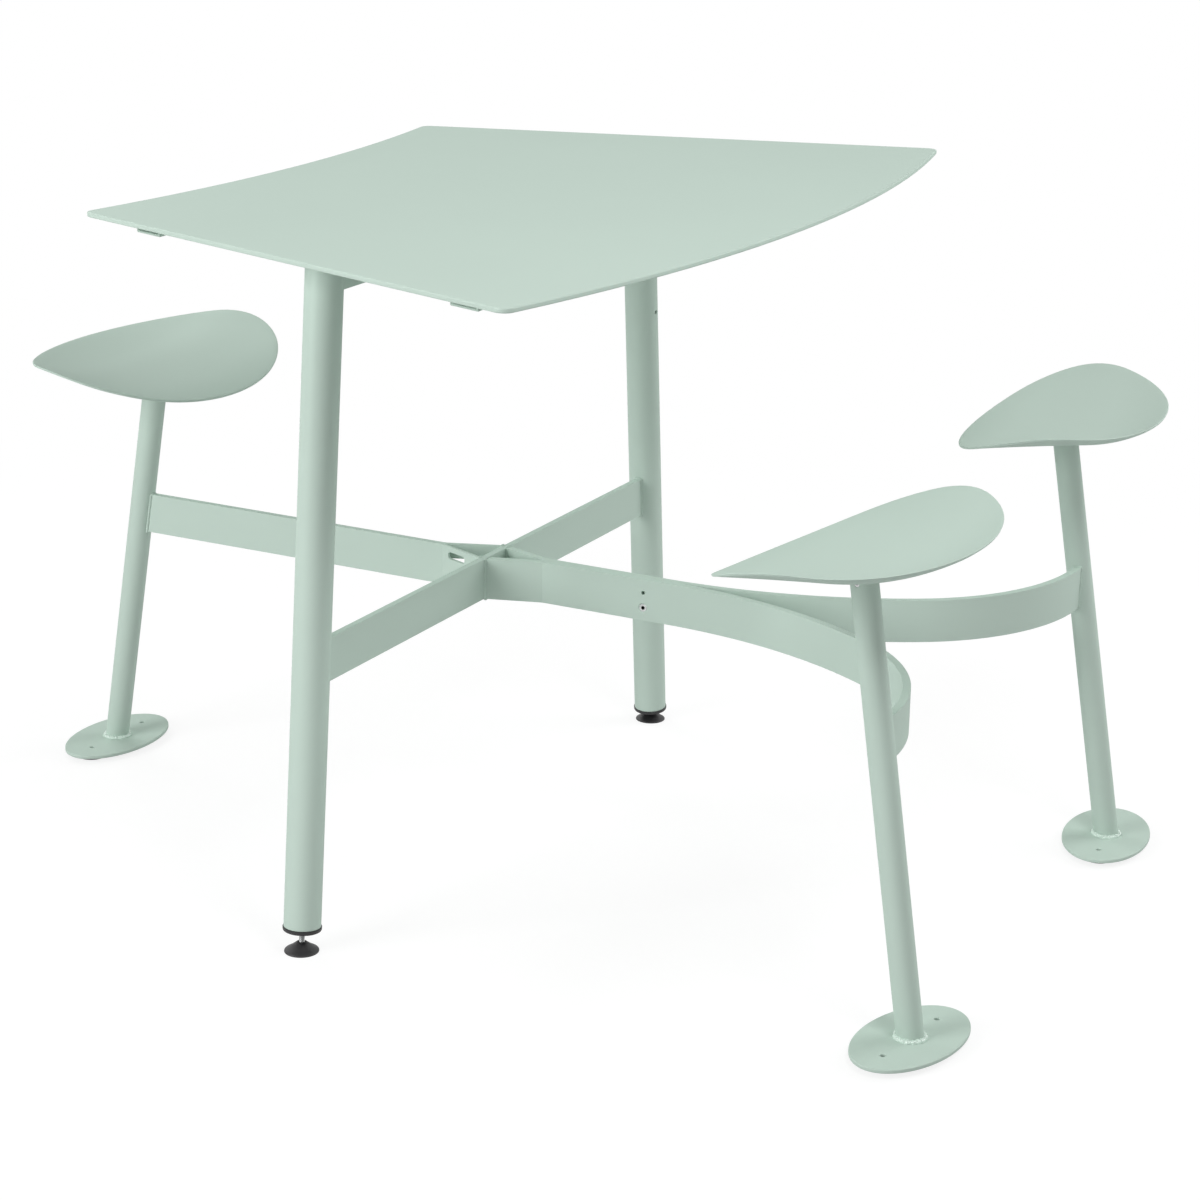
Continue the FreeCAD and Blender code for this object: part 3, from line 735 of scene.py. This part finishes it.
class SEATTABLE_OT_welds(bpy.types.Operator):
    """Lay the weld beads of the frame and the seats"""
    bl_idname = "seat_table.welds"
    bl_label = "Welds"

    RING_POINTS = 48

    def ring(self, line, radius, height):
        """A run all round a leaning tube at one height."""
        points = []
        for number in range(self.RING_POINTS):
            turn = 2 * math.pi * number / self.RING_POINTS
            points.append(tube_face(line, radius, height, Vector((math.cos(turn), math.sin(turn), 0))))
        return points

    def bases(self, shape, settings):
        for name, line in POSTS.items():
            radius = span(name + "_post", line)[1].y
            bead(shape, self.ring(line, radius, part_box(name + "_floor_plate")[1].z), settings.bead_radius)

    def posts(self, shape, settings):
        for name, line in POSTS.items():
            radius = span(name + "_post", line)[1].y
            arms = PLATES if name == "inner" else [name + "_arm"]
            for arm in arms:
                bead(shape, touching(arm, tube_surface(line, radius, arm)), settings.seam_radius)

    def legs(self, shape, settings):
        for name, line in LEG_LINES.items():
            radius = span(name + "_tube", line)[1].y
            bead(shape, self.ring(line, radius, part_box(name + "_cap_plate")[0].z), settings.bead_radius)
            for bar in ("leg_stretcher", "top_beam"):
                bead(shape, touching(bar, tube_surface(line, radius, bar)), settings.seam_radius)

    def forks(self, shape, settings):
        low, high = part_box("leg_stretcher")
        for arms, face in ((PLATES, low.x), (ARMS, high.x)):
            for arm in arms:
                bead(shape, touching(arm, side_surface(face)), settings.seam_radius)

    def stitches(self, shape, settings):
        for node in ("inner_top_stiffener", "outer_top_stiffener"):
            low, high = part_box(node)
            count = int((high.y - low.y) / settings.stitch_gap)
            for edge in (low.x, high.x):
                for number in range(count):
                    middle = low.y + (high.y - low.y) * (number + 0.5) / count
                    ends = [Vector((edge, middle + side * settings.stitch / 2, high.z)) for side in (-1, 1)]
                    bead(shape, ends, settings.seam_radius, closed=False)

    def hub(self, name, line, settings):
        """The run between a hub's upper edge and its pan."""
        to_line = line.inverted()
        radius = span(name, line)[1].y
        points = [to_line @ vertex.co for vertex in NODES[name].data.vertices]
        middle = (min(point.z for point in points) + max(point.z for point in points)) / 2
        edge = {}
        for point in points:
            if point.z > middle and abs(point.xy.length - radius) < TOUCH:
                edge[round(math.atan2(point.y, point.x), 2)] = line @ point
        shape = bmesh.new()
        bead(shape, [edge[turn] for turn in sorted(edge)], settings.seam_radius)
        return shape

    def execute(self, context):
        settings = context.scene.seat_table_frame
        shape = bmesh.new()
        self.bases(shape, settings)
        # The base welds take the weld coat whose lighter patches are painted glints
        make_piece("base_welds", shape, "frame", "mint_paint", [name + "_base_weld" for name in SEATS],
                   finish="mint_weld")
        shape = bmesh.new()
        for lay in (self.posts, self.legs, self.forks, self.stitches):
            lay(shape, settings)
        make_piece("frame_welds", shape, "frame", "mint_paint")
        for name, line in POSTS.items():
            shape = self.hub(name + "_seat_hub", line, settings)
            make_piece(name + "_hub_weld", shape, name + "_seat", "mint_paint")
        return {"FINISHED"}


class SEATTABLE_OT_levelling_feet(bpy.types.Operator):
    """Make the tube plugs, threaded stems and pads of the legs"""
    bl_idname = "seat_table.levelling_feet"
    bl_label = "Levelling Feet"

    CONE_STEPS = 6
    # Where the stem's thread starts, in ball radii, and the pad's foot ring as shares of its radius
    NECK = 1.6
    RING_INSIDE = 0.8
    RING_FOOT = 0.84

    def plug(self, name, line, foot):
        low, high = span(name + "_insert", line)
        tube_end = span(name + "_tube", line)[0].z
        bush = span(name + "_thread_bush", line)[1]
        to_line = line.inverted()
        points = [to_line @ vertex.co for vertex in NODES[name + "_insert"].data.vertices]
        bore = max(point.xy.length for point in points if point.z > tube_end + MERGE_DISTANCE)
        return turned([
            (bush.y, low.z, 0),
            (high.y, low.z, foot.flange_round),
            (high.y, tube_end, 0),
            (bore, tube_end, 0),
            (bore, high.z, foot.flange_round / 2),
            (foot.stem_radius, high.z, 0),
            (foot.stem_radius, bush.z, 0),
            (bush.y, bush.z, 0),
        ])

    def stem(self, name, line, foot):
        """A threaded stem that ends in a ball. The leg's line starts at the middle of the ball."""
        high = span(name + "_foot_stem", line)[1]
        ball = high.y
        core = foot.stem_radius - foot.thread_depth
        start = ball * self.NECK
        shape = threaded_rod(foot.stem_radius, start, high.z, foot.thread_pitch, foot.thread_depth)
        bmesh.ops.create_uvsphere(shape, u_segments=TURN_STEPS // 2, v_segments=TURN_STEPS // 4,
                                  radius=ball)
        neck_end = start + core
        neck = turned([(0, 0, 0), (core, 0, 0), (core, neck_end, 0), (0, neck_end, 0)], closed=False)
        join(shape, neck)
        return shape

    def pad(self, name, foot):
        low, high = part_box(name + "_foot_pad")
        radius = (high.x - low.x) / 2
        top = high.z - low.z
        cone = []
        for number in range(1, self.CONE_STEPS):
            along = number / self.CONE_STEPS
            reach = radius + (foot.pad_neck - radius) * along
            rise = foot.pad_rim + (top - foot.pad_rim) * along - foot.pad_dish * math.sin(math.pi * along)
            cone.append((reach, rise, 0))
        seat = span(name + "_foot_stem", LEG_LINES[name])[1].y + TOUCH
        seat_floor = foot.pad_hollow * 1.2
        shape = turned([
            (0, foot.pad_hollow, 0),
            (radius * self.RING_INSIDE, foot.pad_hollow, 0),
            (radius * self.RING_FOOT, 0, 0),
            (radius, 0, foot.pad_rim / 3),
            (radius, foot.pad_rim, foot.pad_rim / 2),
            *cone,
            (foot.pad_neck, top, foot.pad_rim / 3),
            (seat, top, 0),
            (seat, seat_floor, 0),
            (0, seat_floor, 0),
        ], closed=False)
        middle = (low + high) / 2
        bmesh.ops.translate(shape, verts=shape.verts, vec=(middle.x, middle.y, low.z))
        return shape

    def execute(self, context):
        foot = context.scene.seat_table_foot
        for name, line in LEG_LINES.items():
            pieces = {
                "_plug": (self.plug(name, line, foot), "frame", "black_plastic", "_insert"),
                "_stem": (self.stem(name, line, foot), name + "_stem", "zinc_steel", "_foot_stem"),
            }
            for part, (shape, body, slot, node) in pieces.items():
                bmesh.ops.transform(shape, matrix=line, verts=shape.verts)
                make_piece(name + part, shape, body, slot, [name + node])
            make_piece(name + "_pad", self.pad(name, foot), name + "_pad", "black_plastic",
                       [name + "_foot_pad"])
            keep_nodes([name + "_thread_bush"], "zinc_steel")
        return {"FINISHED"}


class SEATTABLE_OT_floor_glides(bpy.types.Operator):
    """Make the glides under the floor plates"""
    bl_idname = "seat_table.floor_glides"
    bl_label = "Floor Glides"

    def execute(self, context):
        rounding = context.scene.seat_table_foot.glide_round
        for name, line in POSTS.items():
            node = name + "_floor_glides"
            low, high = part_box(node)
            side = line.col[1].xyz
            level = Matrix((side.cross(UP), side, UP)).transposed().to_4x4()
            level.translation = (low + high) / 2
            low, high = span(node, level)
            radius = (high.x - low.x) / 2
            reach = high.y - radius
            to_level = level.inverted()
            points = [to_level @ vertex.co for vertex in NODES[node].data.vertices]
            hole = min(math.hypot(point.x, abs(point.y) - reach) for point in points)
            shape = bmesh.new()
            for end in (-1, 1):
                glide = turned([
                    (hole, low.z, 0),
                    (radius, low.z, rounding),
                    (radius, high.z, 0),
                    (hole, high.z, 0),
                ])
                bmesh.ops.translate(glide, verts=glide.verts, vec=(0, end * reach, 0))
                join(shape, glide)
            bmesh.ops.transform(shape, matrix=level, verts=shape.verts)
            make_piece(name + "_glides", shape, "frame", "black_plastic", [node])
        return {"FINISHED"}


class SEATTABLE_OT_clamp(bpy.types.Operator):
    """Make the screw that holds the outer arms together and finish its nut"""
    bl_idname = "seat_table.clamp"
    bl_label = "Arm Clamp"

    def execute(self, context):
        settings = context.scene.seat_table_screw
        low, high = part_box("arm_clamp_screw")
        middle = (low + high) / 2
        head = (high.x - low.x) / 2
        depth = high.y - low.y
        shank = settings.clamp_shank
        edge = settings.edge_round
        gap = settings.clamp_gap
        shape = screw([
            (settings.clamp_socket * SOCKET_MOUTH, -gap / 2, 0),
            (head - gap - edge, -gap / 2, 0),
            (head - gap, -gap / 2 - edge, 0),
            (head - gap, -gap, 0),
            (shank, -head + shank, 0),
            (shank, edge - depth, 0),
            (shank - edge, -depth, 0),
            (0, -depth, 0),
        ], settings.clamp_socket, settings.socket_depth)
        turn = Matrix.Rotation(math.pi / 2, 4, "X")
        place = Matrix.Translation((middle.x, low.y, middle.z))
        bmesh.ops.transform(shape, matrix=place @ turn, verts=shape.verts)
        make_piece("clamp_screw", shape, "frame", "stainless", ["arm_clamp_screw"])
        keep_nodes(["arm_clamp_nut"], "zinc_steel")
        soften(["arm_clamp_nut"], edge)
        return {"FINISHED"}


class SEATTABLE_OT_stage(bpy.types.Operator):
    """Set the floor, the lights and the camera"""
    bl_idname = "seat_table.stage"
    bl_label = "Stage"

    FLOOR_SIZE = 30
    AIM = Vector((0, 0, 0.4))
    SENSOR_WIDTH = 36
    # Where each lamp stands, and its width and height
    LAMPS = {
        "key": ((-1.5, -2.9, 1.5), (1.7, 1.9)),
        "top": ((-0.2, 0.3, 3.2), (2.4, 2.4)),
        "side": ((1.4, -0.9, 2.2), (0.7, 0.7)),
        "rim": ((2.2, 2.2, 1.8), (2.2, 2.2)),
        "back": ((-2.2, 1.1, 1.9), (1.4, 1.4)),
    }

    def seen(self, nodes):
        """One for rays that should meet a white background: camera, mirrored and clear ones."""
        camera = nodes.add("LightPath", output="Is Camera Ray")
        glossy = nodes.add("LightPath", output="Is Glossy Ray")
        clear = nodes.add("LightPath", output="Is Transmission Ray")
        return nodes.add("Clamp", None, {"Value": camera + glossy + clear})

    def floor(self, stage):
        shape = bmesh.new()
        bmesh.ops.create_grid(shape, x_segments=2, y_segments=2, size=self.FLOOR_SIZE / 2)
        mesh = bpy.data.meshes.new("studio_floor")
        shape.to_mesh(mesh)
        shape.free()
        material = bpy.data.materials.new("studio_floor_finish")
        material.use_nodes = True
        nodes = Nodes(material.node_tree)
        matt = nodes.add("BsdfDiffuse", None, {"Color": shaded(stage.floor, 1)})
        shade = nodes.add("BsdfDiffuse", None, {"Color": shaded(stage.floor, stage.shadow)})
        level = 1 - stage.shadow * stage.floor_level
        glow = nodes.add("Emission", None, {"Color": (1, 1, 1, 1), "Strength": level})
        near = nodes.add("AddShader", None, {0: shade, 1: glow})
        far = nodes.add("Emission", None, {"Color": (1, 1, 1, 1), "Strength": 1})
        distance = nodes.add("VectorMath", {"operation": "LENGTH"}, {0: nodes.place()}, output="Value")
        fade = nodes.add("MapRange", {"interpolation_type": "SMOOTHSTEP"}, {
            "Value": distance, "From Min": stage.shadow_reach / 2, "From Max": stage.shadow_reach})
        white = nodes.add("MixShader", None, {0: fade, 1: near, 2: far})
        mixed = nodes.add("MixShader", None, {0: self.seen(nodes), 1: matt, 2: white})
        nodes.add("OutputMaterial", None, {"Surface": mixed})
        mesh.materials.append(material)
        floor = bpy.data.objects.new("studio_floor", mesh)
        bpy.context.scene.collection.objects.link(floor)

    def world(self, stage):
        world = bpy.data.worlds.new("studio")
        world.use_nodes = True
        nodes = Nodes(world.node_tree)
        seen = self.seen(nodes)
        strength = seen + stage.ambient * (1 - seen)
        light = nodes.add("Background", None, {"Color": (1, 1, 1, 1), "Strength": strength})
        nodes.add("OutputWorld", None, {"Surface": light})
        bpy.context.scene.world = world

    def lamp(self, name, power, place, size):
        data = bpy.data.lights.new(name, "AREA")
        data.energy = power
        data.shape = "RECTANGLE"
        data.size, data.size_y = size
        lamp = bpy.data.objects.new(name, data)
        lamp.location = place
        lamp.rotation_euler = (self.AIM - Vector(place)).to_track_quat("-Z", "Y").to_euler()
        bpy.context.scene.collection.objects.link(lamp)

    def camera(self, stage):
        data = bpy.data.cameras.new("camera")
        data.lens = stage.lens
        data.sensor_width = self.SENSOR_WIDTH
        data.shift_x, data.shift_y = stage.camera_shift
        camera = bpy.data.objects.new("camera", data)
        turn = Matrix.Rotation(stage.camera_heading, 4, "Z")
        turn @= Matrix.Rotation(math.pi / 2 - stage.camera_pitch, 4, "X")
        turn @= Matrix.Rotation(stage.camera_roll, 4, "Z")
        camera.matrix_world = Matrix.Translation(stage.camera_place) @ turn
        bpy.context.scene.collection.objects.link(camera)
        bpy.context.scene.camera = camera

    def execute(self, context):
        stage = context.scene.seat_table_stage
        self.floor(stage)
        self.world(stage)
        for name, (place, size) in self.LAMPS.items():
            self.lamp(name + "_light", getattr(stage, name), place, size)
        self.camera(stage)
        context.scene.view_settings.view_transform = "Standard"
        return {"FINISHED"}


OPERATORS = (
    SEATTABLE_OT_table_top,
    SEATTABLE_OT_frame,
    SEATTABLE_OT_welds,
    SEATTABLE_OT_seat_pans,
    SEATTABLE_OT_swivels,
    SEATTABLE_OT_levelling_feet,
    SEATTABLE_OT_floor_glides,
    SEATTABLE_OT_clamp,
    SEATTABLE_OT_stage,
)


class SEATTABLE_PT_panel(bpy.types.Panel):
    """Lists the steps that finish the table"""
    bl_idname = "SEATTABLE_PT_panel"
    bl_label = "Seat Table"
    bl_space_type = "VIEW_3D"
    bl_region_type = "UI"
    bl_category = "Seat Table"

    def draw(self, context):
        for operator in OPERATORS:
            self.layout.operator(operator.bl_idname)


CLASSES = (*SETTINGS.values(), *OPERATORS, SEATTABLE_PT_panel)


def register():
    for entry in CLASSES:
        bpy.utils.register_class(entry)
    for name, group in SETTINGS.items():
        setattr(bpy.types.Scene, name, PointerProperty(type=group))


def unregister():
    for name in SETTINGS:
        delattr(bpy.types.Scene, name)
    for entry in reversed(CLASSES):
        bpy.utils.unregister_class(entry)


def main():
    register()
    for operator in OPERATORS:
        group, step = operator.bl_idname.split(".")
        getattr(getattr(bpy.ops, group), step)()


if __name__ == "__main__":
    main()
